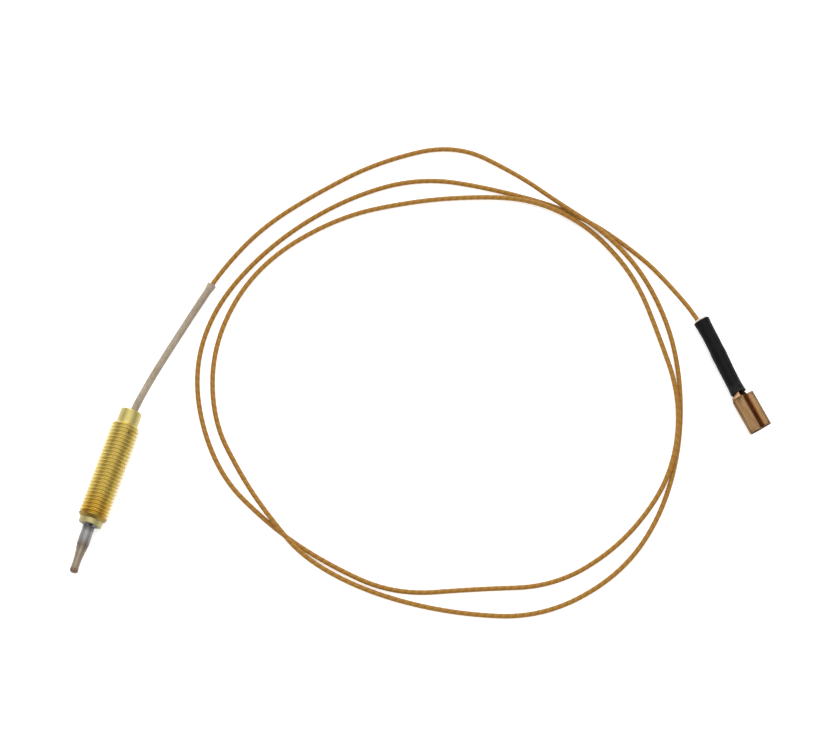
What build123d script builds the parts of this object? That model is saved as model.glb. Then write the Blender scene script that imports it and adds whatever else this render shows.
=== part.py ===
from build123d import *
import os
from math import asin, cos, pi, radians, sin, tan

# Thermocouple with a threaded brass head, a one-metre lead and a push-on tab receptacle.
# Millimetres. +Z is up and z = 0 is the surface that everything lies on. The head lies on
# its thread crests with its axis along Y, tip towards -Y. The origin is under the middle
# of the head. The lead leaves the collar towards +Y and lies to the +X side.

# ---------------------------------------------------------------- head: driving sizes
HEAD_LENGTH = 46.7
COLLAR_LENGTH = 3.85
COLLAR_R = 2.9
THREAD_LENGTH = 27.65
CREST_R = 3.925
PITCH = 1.0
CREST_COUNT = 26
FLANGE_LENGTH = 1.5
FLANGE_R = 3.1
AXIS_Z = CREST_R

THREAD_DEPTH = 0.54 * PITCH
CREST_FLAT = PITCH / 8
ROOT_FLAT = PITCH / 4
REAR_CHAMFER = CREST_R - COLLAR_R
FRONT_CHAMFER = CREST_R - FLANGE_R
EDGE_BREAK = 0.25

# stations along the head axis, from the rear face to the tip
REAR_Y = HEAD_LENGTH / 2
SHOULDER_Y = REAR_Y - COLLAR_LENGTH
FLANGE_Y = SHOULDER_Y - THREAD_LENGTH
FACE_Y = FLANGE_Y - FLANGE_LENGTH
TIP_Y = -HEAD_LENGTH / 2
FIRST_CREST_Y = SHOULDER_Y - 1.4

# bores of the threaded body
SHEATH_BORE_R = 1.62
SHEATH_STOP_Y = 1.0
WIRE_BORE_R = 1.2
REAR_BORE_R = 2.0
REAR_BORE_Y = 3.0

# sensing tip
SHEATH_R = 1.6
SHEATH_BORE = 1.2
NECK_R = 1.07
NECK_BORE = 0.72
TAPER_START_Y = FACE_Y - 5.3
TAPER_END_Y = FACE_Y - 9.4
BEAD_FACE_Y = TIP_Y + 1.4
BEAD_R = 1.16
NOSE_HEIGHT = 0.75
BRAZE_R = 2.5
BRAZE_HEIGHT = 0.55
WIRE_R = 0.4
INSULATOR_GAP = 0.03

# splice between the element wire and the lead, inside the rear bore
WIRE_END_Y = 7.6
FERRULE_Y = (5.0, 11.0)
FERRULE_R = (0.45, 0.85)
SPLICE_SLEEVE_Y = (4.0, 13.4)
SPLICE_SLEEVE_R = (0.88, 1.3)
BUSH_Y = (14.6, REAR_Y - 0.5)
BUSH_R = (1.45, REAR_BORE_R - 0.02)

# ---------------------------------------------------------------- lead: driving sizes
JACKET_R = 0.66
JACKET_BORE = 0.33
CORE_R = 0.29
SLEEVE_R = 1.0
SLEEVE_BORE = 0.74
SLEEVE_FLARE_R = 1.27
SLEEVE_FLARE_LENGTH = 1.6
CORNER_SHARE = 0.45

# The route of the lead, from the splice inside the head to the crimp: two loose turns
# laid on the surface. It passes over its own later turn at the left and the right, and
# over the outgoing strand at the top, in low humps.
ROUTE = [
    (0.0, 12.0, 3.9), (0.2, 22.0, 3.9), (1.6, 33.0, 3.3), (3.9, 44.9, 2.5), (6.4, 56.9, 1.8),
    (9.3, 69.9, 1.1), (15.6, 84.9, 0.7), (26.5, 99.0, 0.7), (40.1, 113.4, 0.7), (58.6, 125.1, 0.7),
    (78.0, 121.6, 0.8), (91.0, 116.7, 2.22), (107.6, 111.8, 2.22), (122.1, 102.3, 0.85),
    (134.6, 86.1, 0.7), (142.6, 63.5, 0.7), (143.7, 40.5, 0.7), (137.3, 20.8, 0.7),
    (121.2, 4.1, 0.7), (99.0, -2.0, 0.7), (76.5, -3.6, 0.8), (57.5, -0.6, 2.1), (45.3, 6.9, 2.22),
    (33.9, 15.7, 0.85), (20.4, 29.2, 0.7), (13.6, 50.5, 0.7), (17.9, 74.1, 0.7), (34.2, 94.3, 0.7),
    (54.0, 105.9, 0.7), (71.1, 112.6, 0.8), (83.1, 115.0, 2.1), (94.6, 114.2, 1.95),
    (105.6, 110.7, 0.8), (118.2, 102.1, 0.7), (128.6, 88.6, 0.8), (138.1, 74.6, 2.1),
    (142.3, 59.5, 2.22), (141.6, 45.2, 1.1), (134.6, 27.8, 0.7), (121.8, 13.2, 0.7),
    (102.7, 6.3, 0.7), (82.6, -2.0, 0.7), (62.2, 0.5, 0.7), (44.6, 5.8, 0.7), (26.5, 15.3, 0.7),
    (12.4, 36.2, 0.7), (10.2, 57.5, 0.7), (18.7, 79.8, 0.7), (33.7, 99.3, 0.7), (52.0, 112.5, 0.7),
    (73.5, 115.7, 0.7), (97.4, 115.9, 0.7), (117.4, 109.2, 0.7), (128.1, 102.8, 1.2),
    (137.6, 95.9, 2.35), (145.4, 88.1, 2.35),
]
SLEEVE_START = 0.3     # share of the first run at which the exit sleeve begins
SLEEVE_CORNERS = 4     # corners of the route that the exit sleeve covers
SLEEVE_END = 0.44      # share of the next run at which its flare begins

# ---------------------------------------------------------------- connector: driving sizes
# The connector's axis lies level at 45 degrees to the row axes. The lead enters it a
# little to one side of the middle. The receptacle is in line with the lead and lies
# rolled about its own axis.
CONNECTOR_DIRECTION = Vector(cos(radians(-45)), sin(radians(-45)), 0)
LEAD_OFFSET = 0.5
SHRINK_OFFSET = 0.2    # the heat-shrink's axis: sideways at its mouth, and its turn
SHRINK_TURN = 1.8
CONNECTOR_START = Vector(138.0, 95.5, 2.35) + Vector(LEAD_OFFSET * cos(radians(45)),
                                                     LEAD_OFFSET * sin(radians(45)), 0)
ROLL = -14
SHRINK_LENGTH = 22.6
SHRINK_R = 2.05
SHRINK_FLARE_R = 2.32
SHRINK_FLARE_LENGTH = 2.2
SHRINK_WALL = 0.3
INNER_SLEEVE = (-0.3, 15.5)
INNER_SLEEVE_R = (1.32, 1.7)
BARREL = (15.6, 22.6)
BARREL_R = (0.6, 1.0)
SOCKET = (23.5, 33.9)
SHEET = 0.4
SOCKET_HALF_WIDTH = 3.15
SOCKET_HEIGHT = 2.5
BASE_BEND_R = 0.6      # centreline radius between the base and each side
ROLL_BEND_R = 0.75     # centreline radius of the rolled edges' round corners
LEFT_ROLL = 3.05       # outside width of the left roll's flat top
LEFT_FACET = (0.61, 0.4)   # the left roll's sloping shoulder: across and down
RIGHT_ROLL = 2.2       # outside width of the right roll
TAB_GAP = 0.95         # from the base to each lip's edge
TAB_THICKNESS = 0.8
BARE_CORE = 11.0       # core beyond the jacket's end, most of it in the barrel


def unit(vector):
    return vector.normalized()


def corner_radii(points):
    """As large an arc at each corner as its two runs allow."""
    radii = []
    for before, here, after in zip(points, points[1:], points[2:]):
        into, away = here - before, after - here
        half_turn = radians(into.get_angle(away) / 2)
        radii.append(CORNER_SHARE * min(into.length, away.length) / tan(half_turn))
    return radii


def path_length(points, radii):
    """Length of the straight runs joined by tangent arcs."""
    total = sum((b - a).length for a, b in zip(points, points[1:]))
    for (before, here, after), radius in zip(zip(points, points[1:], points[2:]), radii):
        half_turn = radians((here - before).get_angle(after - here) / 2)
        total += 2 * radius * (half_turn - tan(half_turn))
    return total


def ring(plane, outer, inner, height):
    """A round tube standing on a plane."""
    with BuildPart() as tube:
        with BuildSketch(plane):
            Circle(outer)
            Circle(inner, mode=Mode.SUBTRACT)
        extrude(amount=height)
    return tube.part


def head_ring(stations, radii):
    """A round tube on the head's axis between two stations."""
    plane = Plane(origin=(0, stations[0], AXIS_Z), z_dir=(0, 1, 0))
    return ring(plane, radii[1], radii[0], stations[1] - stations[0])


def head_revolve(outline):
    """A solid of revolution on the head's axis from (radius, station) points."""
    with BuildPart() as turned:
        with BuildSketch(Plane.XY.offset(AXIS_Z)):
            with BuildLine():
                Polyline(*outline, close=True)
            make_face()
        revolve(axis=Axis((0, 0, AXIS_Z), (0, 1, 0)))
    return turned.part


def swept_tube(points, radii, outer, inner=0):
    """A tube along straight runs joined by tangent arcs."""
    with BuildPart() as tube:
        with BuildLine() as path:
            FilletPolyline(*points, radius=radii)
        with BuildSketch(Plane(origin=path.line @ 0, z_dir=path.line % 0)):
            Circle(outer)
            if inner:
                Circle(inner, mode=Mode.SUBTRACT)
        sweep()
    return tube.part


def finish(piece, name):
    piece.label = name
    export_step(piece, f"parts/{name}.step")


os.makedirs("parts", exist_ok=True)

# ---------------------------------------------------------------- threaded body
# One turned brass piece: rear collar, threaded length and front flange. Each thread turn
# is a separate 60 degree ridge with a true cylindrical crest at the major radius.
root_r = CREST_R - THREAD_DEPTH
flank = (PITCH - CREST_FLAT - ROOT_FLAT) / 2
body_outline = [
    (REAR_BORE_R, REAR_Y),
    (COLLAR_R - EDGE_BREAK, REAR_Y),
    (COLLAR_R, REAR_Y - EDGE_BREAK),
    (COLLAR_R, SHOULDER_Y),
    (root_r, SHOULDER_Y - (root_r - COLLAR_R)),
]
for turn in range(CREST_COUNT):
    crest = FIRST_CREST_Y - turn * PITCH
    body_outline += [
        (root_r, crest + CREST_FLAT / 2 + flank),
        (CREST_R, crest + CREST_FLAT / 2),
        (CREST_R, crest - CREST_FLAT / 2),
        (root_r, crest - CREST_FLAT / 2 - flank),
    ]
body_outline += [
    (root_r, FLANGE_Y + (root_r - FLANGE_R)),
    (FLANGE_R, FLANGE_Y),
    (FLANGE_R, FACE_Y),
    (SHEATH_BORE_R, FACE_Y),
    (SHEATH_BORE_R, SHEATH_STOP_Y),
    (WIRE_BORE_R, SHEATH_STOP_Y),
    (WIRE_BORE_R, REAR_BORE_Y),
    (REAR_BORE_R, REAR_BORE_Y),
]
threaded_body = head_revolve(body_outline)
finish(threaded_body, "threaded_body")

# ---------------------------------------------------------------- sensing tip
# Swaged metal sheath: one leg of the thermocouple, brazed into the body.
sensor_sheath = head_revolve([
    (SHEATH_R, SHEATH_STOP_Y - 0.02),
    (SHEATH_R, TAPER_START_Y),
    (NECK_R, TAPER_END_Y),
    (NECK_R, BEAD_FACE_Y),
    (NECK_BORE, BEAD_FACE_Y),
    (NECK_BORE, TAPER_END_Y),
    (SHEATH_BORE, TAPER_START_Y),
    (SHEATH_BORE, SHEATH_STOP_Y - 0.02),
])
finish(sensor_sheath, "sensor_sheath")

# Weld bead that closes the sheath and joins both legs: the hot junction.
nose_r = (BEAD_R**2 + NOSE_HEIGHT**2) / (2 * NOSE_HEIGHT)
nose_angle = asin(BEAD_R / nose_r) / 2
nose_middle = (nose_r * sin(nose_angle), TIP_Y + nose_r * (1 - cos(nose_angle)))
with BuildPart() as hot_junction_bead:
    with BuildSketch(Plane.XY.offset(AXIS_Z)):
        with BuildLine():
            Polyline(
                (0, TIP_Y), (0, BEAD_FACE_Y), (NECK_R, BEAD_FACE_Y),
                (BEAD_R, BEAD_FACE_Y - 0.25), (BEAD_R, TIP_Y + NOSE_HEIGHT),
            )
            ThreePointArc((BEAD_R, TIP_Y + NOSE_HEIGHT), nose_middle, (0, TIP_Y))
        make_face()
    revolve(axis=Axis((0, 0, AXIS_Z), (0, 1, 0)))
finish(hot_junction_bead.part, "hot_junction_bead")

# Fibre insulator that keeps the element wire central in the sheath.
element_insulator = head_revolve([
    (SHEATH_BORE - INSULATOR_GAP, SHEATH_STOP_Y - 0.5),
    (SHEATH_BORE - INSULATOR_GAP, TAPER_START_Y),
    (NECK_BORE - INSULATOR_GAP, TAPER_END_Y),
    (NECK_BORE - INSULATOR_GAP, BEAD_FACE_Y + 0.3),
    (WIRE_R + INSULATOR_GAP, BEAD_FACE_Y + 0.3),
    (WIRE_R + INSULATOR_GAP, SHEATH_STOP_Y - 0.5),
])
finish(element_insulator, "element_insulator")

# Element wire: the other leg, from the bead to the splice.
with BuildPart() as inner_element_wire:
    with BuildSketch(Plane(origin=(0, BEAD_FACE_Y, AXIS_Z), z_dir=(0, 1, 0))):
        Circle(WIRE_R)
    extrude(amount=WIRE_END_Y - BEAD_FACE_Y)
finish(inner_element_wire.part, "inner_element_wire")

# Ring of braze where the sheath leaves the flange.
braze_inner_r = SHEATH_R + 0.01
with BuildPart() as braze_fillet:
    with BuildSketch(Plane.XY.offset(AXIS_Z)):
        with BuildLine():
            braze_foot = Line((braze_inner_r, FACE_Y), (BRAZE_R, FACE_Y))
            braze_face = ThreePointArc(
                (BRAZE_R, FACE_Y),
                (braze_inner_r + 0.34, FACE_Y - 0.2),
                (braze_inner_r + 0.06, FACE_Y - BRAZE_HEIGHT),
            )
            Polyline(braze_face @ 1, (braze_inner_r, FACE_Y - BRAZE_HEIGHT), braze_foot @ 0)
        make_face()
    revolve(axis=Axis((0, 0, AXIS_Z), (0, 1, 0)))
finish(braze_fillet.part, "braze_fillet")

# ---------------------------------------------------------------- splice and bush
splice_ferrule = head_ring(FERRULE_Y, FERRULE_R)
finish(splice_ferrule, "splice_ferrule")

splice_sleeve = head_ring(SPLICE_SLEEVE_Y, SPLICE_SLEEVE_R)
finish(splice_sleeve, "splice_sleeve")

insulating_bush = head_ring(BUSH_Y, BUSH_R)
finish(insulating_bush, "insulating_bush")

# ---------------------------------------------------------------- lead
route = [Vector(*point) for point in ROUTE]
route_radii = corner_radii(route)
lead_jacket = swept_tube(route, route_radii, JACKET_R, JACKET_BORE)
finish(lead_jacket, "lead_jacket")

# The stranded core runs on at both ends: into the splice ferrule and the crimp barrel.
first_direction = unit(route[1] - route[0])
last_direction = unit(route[-1] - route[-2])
core_start = route[0] - first_direction * (route[0].Y - WIRE_END_Y - 0.5)
core_end = route[-1] + last_direction * BARE_CORE
core_route = [core_start] + route[1:-1] + [core_end]
lead_core = swept_tube(core_route, route_radii, CORE_R)
finish(lead_core, "lead_core")

lead_length = path_length(route, route_radii)
jacket_section = pi * (JACKET_R**2 - JACKET_BORE**2)
print("lead radii:", [round(radius, 1) for radius in route_radii])
print(f"smallest radius {min(route_radii):.1f}, lead length {lead_length:.1f}")
print(f"jacket volume {lead_jacket.volume:.1f}, section x length {jacket_section * lead_length:.1f}")

# Braided sleeve from inside the collar, with a frayed, flared free end.
sleeve_start = route[0] + (route[1] - route[0]) * SLEEVE_START
last_corner, next_point = route[SLEEVE_CORNERS], route[SLEEVE_CORNERS + 1]
sleeve_end = last_corner + (next_point - last_corner) * SLEEVE_END
sleeve_direction = unit(next_point - last_corner)
sleeve_route = [sleeve_start] + route[1:SLEEVE_CORNERS + 1] + [sleeve_end]
sleeve_tube = swept_tube(sleeve_route, route_radii[:SLEEVE_CORNERS], SLEEVE_R, SLEEVE_BORE)
flare_plane = Plane(origin=sleeve_end, z_dir=sleeve_direction)
with BuildPart() as exit_sleeve:
    add(sleeve_tube)
    with BuildSketch(flare_plane):
        Circle(SLEEVE_R)
    with BuildSketch(flare_plane.offset(SLEEVE_FLARE_LENGTH)):
        Circle(SLEEVE_FLARE_R)
    loft()
    with BuildSketch(flare_plane.offset(SLEEVE_FLARE_LENGTH)):
        Circle(SLEEVE_BORE)
    extrude(amount=-SLEEVE_FLARE_LENGTH, mode=Mode.SUBTRACT)
finish(exit_sleeve.part, "exit_sleeve")

# ---------------------------------------------------------------- connector
# Local frame: z along the connector, x across it, y towards the receptacle's open side.
across = Vector(sin(radians(45)), sin(radians(45)), 0)
shrink_start = CONNECTOR_START - across * SHRINK_OFFSET
shrink_direction = (CONNECTOR_DIRECTION * cos(radians(SHRINK_TURN))
                    - across * sin(radians(SHRINK_TURN)))
shrink_plane = Plane(origin=shrink_start, x_dir=Vector(0, 0, 1), z_dir=shrink_direction)

# White fibre sleeve under the heat-shrink, just showing at its end.
connector_inner_sleeve = ring(
    shrink_plane.offset(INNER_SLEEVE[0]),
    INNER_SLEEVE_R[1], INNER_SLEEVE_R[0], INNER_SLEEVE[1] - INNER_SLEEVE[0],
)
finish(connector_inner_sleeve, "connector_inner_sleeve")

# Heat-shrink tube over the joint, flared at both ends.
shrink_profile = [
    (SHRINK_FLARE_R, 0), (SHRINK_R, SHRINK_FLARE_LENGTH),
    (SHRINK_R, SHRINK_LENGTH - SHRINK_FLARE_LENGTH), (SHRINK_FLARE_R, SHRINK_LENGTH),
]
shrink_inner = [(radius - SHRINK_WALL, along) for radius, along in reversed(shrink_profile)]
with BuildPart() as heat_shrink_tube:
    shrink_section = Plane(origin=shrink_start, x_dir=Vector(0, 0, 1).cross(shrink_direction),
                           z_dir=Vector(0, 0, -1))
    with BuildSketch(shrink_section):
        with BuildLine():
            Polyline(*shrink_profile, *shrink_inner, close=True)
        make_face()
    revolve(axis=Axis(shrink_start, shrink_direction))
finish(heat_shrink_tube.part, "heat_shrink_tube")

# Tab receptacle, one folded sheet: crimp barrel, neck, and a base with two rolled edges
# that hold a flat tab. It is rolled about its own axis, with its right side raised.
rolled_across = across * cos(radians(ROLL)) - Vector(0, 0, sin(radians(ROLL)))
rolled_plane = Plane(origin=CONNECTOR_START - across * LEAD_OFFSET, x_dir=rolled_across,
                     z_dir=CONNECTOR_DIRECTION)
half_sheet = SHEET / 2
base_h = -SOCKET_HEIGHT / 2 + half_sheet
top_h = SOCKET_HEIGHT / 2 - half_sheet
lip_h = base_h + half_sheet + TAB_GAP
wall_x = SOCKET_HALF_WIDTH - half_sheet
bend_x = wall_x - BASE_BEND_R
left_top_x = -SOCKET_HALF_WIDTH + LEFT_ROLL
left_lip_x = left_top_x + LEFT_FACET[0] - half_sheet
right_lip_x = SOCKET_HALF_WIDTH - RIGHT_ROLL + half_sheet
slack = 1 - cos(radians(45))
with BuildPart() as tab_receptacle:
    with BuildSketch(rolled_plane.offset(SOCKET[0])):
        with BuildLine():
            for side in (-1, 1):
                corner_x = side * (wall_x - ROLL_BEND_R)
                Line((0, base_h), (side * bend_x, base_h))
                ThreePointArc(
                    (side * bend_x, base_h),
                    (side * (wall_x - slack * BASE_BEND_R), base_h + slack * BASE_BEND_R),
                    (side * wall_x, base_h + BASE_BEND_R),
                )
                Line((side * wall_x, base_h + BASE_BEND_R), (side * wall_x, top_h - ROLL_BEND_R))
                ThreePointArc(
                    (side * wall_x, top_h - ROLL_BEND_R),
                    (side * (wall_x - slack * ROLL_BEND_R), top_h - slack * ROLL_BEND_R),
                    (corner_x, top_h),
                )
            # the left roll: flat top, sloping shoulder and lip
            Polyline(
                (-wall_x + ROLL_BEND_R, top_h), (left_top_x - 0.08, top_h),
                (left_lip_x, top_h - LEFT_FACET[1]), (left_lip_x, lip_h),
            )
            # the right roll turns down in a round corner to its lip
            Line((wall_x - ROLL_BEND_R, top_h), (right_lip_x + ROLL_BEND_R, top_h))
            ThreePointArc(
                (right_lip_x + ROLL_BEND_R, top_h),
                (right_lip_x + slack * ROLL_BEND_R, top_h - slack * ROLL_BEND_R),
                (right_lip_x, top_h - ROLL_BEND_R),
            )
            Line((right_lip_x, top_h - ROLL_BEND_R), (right_lip_x, lip_h))
        trace(line_width=SHEET)
    extrude(amount=SOCKET[1] - SOCKET[0])
    # neck from the base up to the barrel
    with BuildSketch(rolled_plane.offset(SOCKET[0] + 0.2)):
        with Locations((0, base_h)):
            Rectangle(2 * bend_x, SHEET)
    with BuildSketch(rolled_plane.offset(BARREL[1] - 0.3)):
        with Locations((0, -BARREL_R[1] + SHEET / 2)):
            Rectangle(BARREL_R[1] * 1.2, SHEET)
    loft()
    # closed crimp barrel on the lead's axis
    with BuildSketch(rolled_plane.offset(BARREL[0])):
        Circle(BARREL_R[1])
        Circle(BARREL_R[0], mode=Mode.SUBTRACT)
    extrude(amount=BARREL[1] - BARREL[0])
finish(tab_receptacle.part, "tab_receptacle")

mouth = rolled_plane.from_local_coords(Vector(0, base_h + SHEET / 2 + TAB_THICKNESS / 2, SOCKET[1]))
print("tab mouth centre", [round(value, 2) for value in tuple(mouth)])
print("tab face normal", [round(value, 3) for value in tuple(rolled_plane.y_dir)])
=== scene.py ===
import random
from bisect import bisect_right
from math import cos, floor, pi, radians, sin, sqrt

import bmesh
import bpy
from mathutils import Matrix, Vector, noise


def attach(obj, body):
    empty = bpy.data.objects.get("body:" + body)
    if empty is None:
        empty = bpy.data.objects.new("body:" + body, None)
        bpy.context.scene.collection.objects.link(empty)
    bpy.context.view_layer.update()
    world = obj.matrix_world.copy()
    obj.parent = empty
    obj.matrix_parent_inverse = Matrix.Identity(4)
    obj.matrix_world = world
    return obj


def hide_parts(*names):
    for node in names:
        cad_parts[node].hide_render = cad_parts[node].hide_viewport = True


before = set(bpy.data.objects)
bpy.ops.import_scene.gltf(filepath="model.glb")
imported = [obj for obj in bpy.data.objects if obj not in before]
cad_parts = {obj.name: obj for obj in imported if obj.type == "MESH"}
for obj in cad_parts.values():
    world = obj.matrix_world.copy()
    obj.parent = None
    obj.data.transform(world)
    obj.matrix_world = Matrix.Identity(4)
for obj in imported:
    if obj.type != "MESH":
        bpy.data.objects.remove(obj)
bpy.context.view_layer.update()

# Lengths below are in millimetres, in the row frame, and MM turns them into metres.
MM = 0.001


def added(name, data):
    """A new object with this data, linked to the scene."""
    obj = bpy.data.objects.new(name, data)
    bpy.context.scene.collection.objects.link(obj)
    return obj


# ---- camera
CAMERA_PLACE = Vector((138.74, -152.64, 716.07)) * MM
CAMERA_TARGET = Vector((69.67, 59.42, 0)) * MM
CAMERA_UP = Vector((-0.2957, 0.9078, 0.2974))


def aim(place, target, up):
    """A camera's rotation that looks from place to target with up upwards."""
    back = (place - target).normalized()
    right = up.cross(back).normalized()
    return Matrix((right, back.cross(right), back)).transposed().to_quaternion()


camera_data = bpy.data.cameras.new("camera")
camera = added("camera", camera_data)
bpy.context.scene.camera = camera
camera_data.lens = 118.5
camera_data.sensor_width = 36
camera_data.clip_start = 0.01
camera_data.clip_end = 10
camera.location = CAMERA_PLACE
camera.rotation_mode = "QUATERNION"
camera.rotation_quaternion = aim(CAMERA_PLACE, CAMERA_TARGET, CAMERA_UP)


# ---- the lead's line
ROUTE = [
    (0.0, 12.0, 3.9), (0.2, 22.0, 3.9), (1.6, 33.0, 3.3), (3.9, 44.9, 2.5), (6.4, 56.9, 1.8),
    (9.3, 69.9, 1.1), (15.6, 84.9, 0.7), (26.5, 99.0, 0.7), (40.1, 113.4, 0.7), (58.6, 125.1, 0.7),
    (78.0, 121.6, 0.8), (91.0, 116.7, 2.22), (107.6, 111.8, 2.22), (122.1, 102.3, 0.85),
    (134.6, 86.1, 0.7), (142.6, 63.5, 0.7), (143.7, 40.5, 0.7), (137.3, 20.8, 0.7),
    (121.2, 4.1, 0.7), (99.0, -2.0, 0.7), (76.5, -3.6, 0.8), (57.5, -0.6, 2.1), (45.3, 6.9, 2.22),
    (33.9, 15.7, 0.85), (20.4, 29.2, 0.7), (13.6, 50.5, 0.7), (17.9, 74.1, 0.7), (34.2, 94.3, 0.7),
    (54.0, 105.9, 0.7), (71.1, 112.6, 0.8), (83.1, 115.0, 2.1), (94.6, 114.2, 1.95),
    (105.6, 110.7, 0.8), (118.2, 102.1, 0.7), (128.6, 88.6, 0.8), (138.1, 74.6, 2.1),
    (142.3, 59.5, 2.22), (141.6, 45.2, 1.1), (134.6, 27.8, 0.7), (121.8, 13.2, 0.7),
    (102.7, 6.3, 0.7), (82.6, -2.0, 0.7), (62.2, 0.5, 0.7), (44.6, 5.8, 0.7), (26.5, 15.3, 0.7),
    (12.4, 36.2, 0.7), (10.2, 57.5, 0.7), (18.7, 79.8, 0.7), (33.7, 99.3, 0.7), (52.0, 112.5, 0.7),
    (73.5, 115.7, 0.7), (97.4, 115.9, 0.7), (117.4, 109.2, 0.7), (128.1, 102.8, 1.2),
    (137.6, 95.9, 2.35), (145.4, 88.1, 2.35),
]


def smooth_line(points):
    """The points of a smooth NURBS line with these control points, in millimetres."""
    curve = bpy.data.curves.new("line", "CURVE")
    curve.dimensions = "3D"
    curve.resolution_u = 64
    spline = curve.splines.new("NURBS")
    spline.points.add(len(points) - 1)
    for target, point in zip(spline.points, points):
        target.co = (*point, 1)
    spline.order_u = 3
    spline.use_endpoint_u = True
    holder = added("line", curve)
    mesh = bpy.data.meshes.new_from_object(holder)
    line = [vertex.co.copy() for vertex in mesh.vertices]
    bpy.data.objects.remove(holder)
    bpy.data.curves.remove(curve)
    bpy.data.meshes.remove(mesh)
    return line


class Line:
    """A line with distance along it and a frame that doesn't twist."""

    def __init__(self, points, side=(0, 0, 1)):
        self.points = [Vector(point) for point in points]
        self.along = [0.0]
        for a, b in zip(self.points, self.points[1:]):
            self.along.append(self.along[-1] + (b - a).length)
        last = len(self.points) - 1
        self.tangents = [
            (self.points[min(i + 1, last)] - self.points[max(i - 1, 0)]).normalized()
            for i in range(last + 1)
        ]
        side = Vector(side)
        self.sides = []
        for tangent in self.tangents:
            side = (side - tangent * side.dot(tangent)).normalized()
            self.sides.append(side)
        self.length = self.along[-1]

    def at(self, distance):
        """Place, direction and side vector at a distance along the line."""
        i = min(max(bisect_right(self.along, distance) - 1, 0), len(self.points) - 2)
        share = (distance - self.along[i]) / (self.along[i + 1] - self.along[i])
        near = min(max(share, 0), 1)
        return (
            self.points[i].lerp(self.points[i + 1], share),
            self.tangents[i].lerp(self.tangents[i + 1], near).normalized(),
            self.sides[i].lerp(self.sides[i + 1], near).normalized(),
        )

    def point(self, distance, angle, radius):
        """A point at a radius from the line."""
        place, tangent, side = self.at(distance)
        other = tangent.cross(side)
        return place + (side * cos(angle) + other * sin(angle)) * radius


lead_line = Line(smooth_line(ROUTE))


# ---- mesh helpers
def interpolate(table, at):
    """Smooth interpolation in a list of (position, value) pairs in rising order."""
    if at <= table[0][0]:
        return table[0][1]
    for (x0, y0), (x1, y1) in zip(table, table[1:]):
        if at <= x1:
            share = (at - x0) / (x1 - x0)
            share = share * share * (3 - 2 * share)
            return y0 + (y1 - y0) * share
    return table[-1][1]


def steps(start, end, spacing):
    """Evenly spaced values from start to end."""
    count = max(1, round(abs(end - start) / spacing))
    return [start + (end - start) * i / count for i in range(count + 1)]


def full_turn(count):
    """Evenly spaced angles round one turn, the first being zero."""
    return [2 * pi * k / count for k in range(count)]


def wobble(point, scale, seed=0):
    """Smooth noise from about -1 to 1."""
    return noise.noise(Vector(point) * scale + Vector((seed * 7.3, seed * 3.1, seed * 5.7)))


def piece(name, vertices, faces, material, replaces=(), lays=None, smooth=True, weld=0.0):
    """A mesh object on the root body. lays holds each face's corners' (along, around) values."""
    mesh = bpy.data.meshes.new(name)
    mesh.from_pydata([Vector(vertex) * MM for vertex in vertices], [], faces)
    if lays:
        layer = mesh.uv_layers.new(name="lay")
        layer.data.foreach_set("uv", [value for lay in lays for corner in lay for value in corner])
    work = bmesh.new()
    work.from_mesh(mesh)
    if weld:
        bmesh.ops.remove_doubles(work, verts=work.verts, dist=weld * MM)
    bmesh.ops.recalc_face_normals(work, faces=work.faces)
    work.to_mesh(mesh)
    work.free()
    mesh.shade_smooth()
    if smooth is not True:
        mesh.set_sharp_from_angle(angle=radians(smooth))
    mesh.materials.append(material)
    obj = added(name, mesh)
    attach(obj, "root")
    if replaces:
        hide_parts(*replaces)
    return obj


def skin(rings, along, loop=False, start_cap=False, end_cap=False):
    """Vertices, faces and lays of a surface over closed rings of equally many points."""
    count = len(rings[0])
    vertices = [point for ring in rings for point in ring]
    pairs = [(i, i + 1) for i in range(len(rings) - 1)]
    if loop:
        pairs.append((len(rings) - 1, 0))
    faces, lays = [], []
    for i, j in pairs:
        for k in range(count):
            m = (k + 1) % count
            faces.append((i * count + k, i * count + m, j * count + m, j * count + k))
            lays.append([
                (along[i], k / count), (along[i], (k + 1) / count),
                (along[j], (k + 1) / count), (along[j], k / count),
            ])
    for wanted, i in ((start_cap, 0), (end_cap, len(rings) - 1)):
        if wanted:
            faces.append(tuple(i * count + k for k in range(count)))
            lays.append([(along[i], k / count) for k in range(count)])
    return vertices, faces, lays


def pipe(line, distances, outer, inner, around):
    """A hollow tube on a line: outer(distance, angle) and inner(distance, angle) are radii."""
    angles = full_turn(around)
    rings = [[line.point(d, a, outer(d, a)) for a in angles] for d in distances]
    rings += [[line.point(d, a, inner(d, a)) for a in angles] for d in reversed(distances)]
    return skin(rings, distances + distances[::-1], loop=True)


def join_parts(parts):
    """Several (vertices, faces, lays) as one."""
    vertices, faces, lays = [], [], []
    for part_vertices, part_faces, part_lays in parts:
        shift = len(vertices)
        vertices += part_vertices
        faces += [tuple(index + shift for index in face) for face in part_faces]
        lays += part_lays
    return vertices, faces, lays


def fibre(root, direction, length, radius, bend, sides=4, rows=5):
    """A thin tapered strand that bends away from its root."""
    points = []
    for i in range(rows + 1):
        share = i / rows
        points.append(root + direction * (length * share) + bend * (length * share * share))
    line = Line(points, side=direction.orthogonal())
    rings = []
    for i, distance in enumerate(line.along):
        thickness = radius * (1 - 0.75 * i / rows)
        rings.append([line.point(distance, angle, thickness) for angle in full_turn(sides)])
    return skin(rings, line.along, start_cap=True, end_cap=True)


# ---- material helpers
def colour(red, green, blue):
    """A linear colour from 0 to 255 display values."""
    def linear(value):
        value /= 255
        return value / 12.92 if value <= 0.04045 else ((value + 0.055) / 1.055) ** 2.4
    return (linear(red), linear(green), linear(blue), 1)


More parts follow.
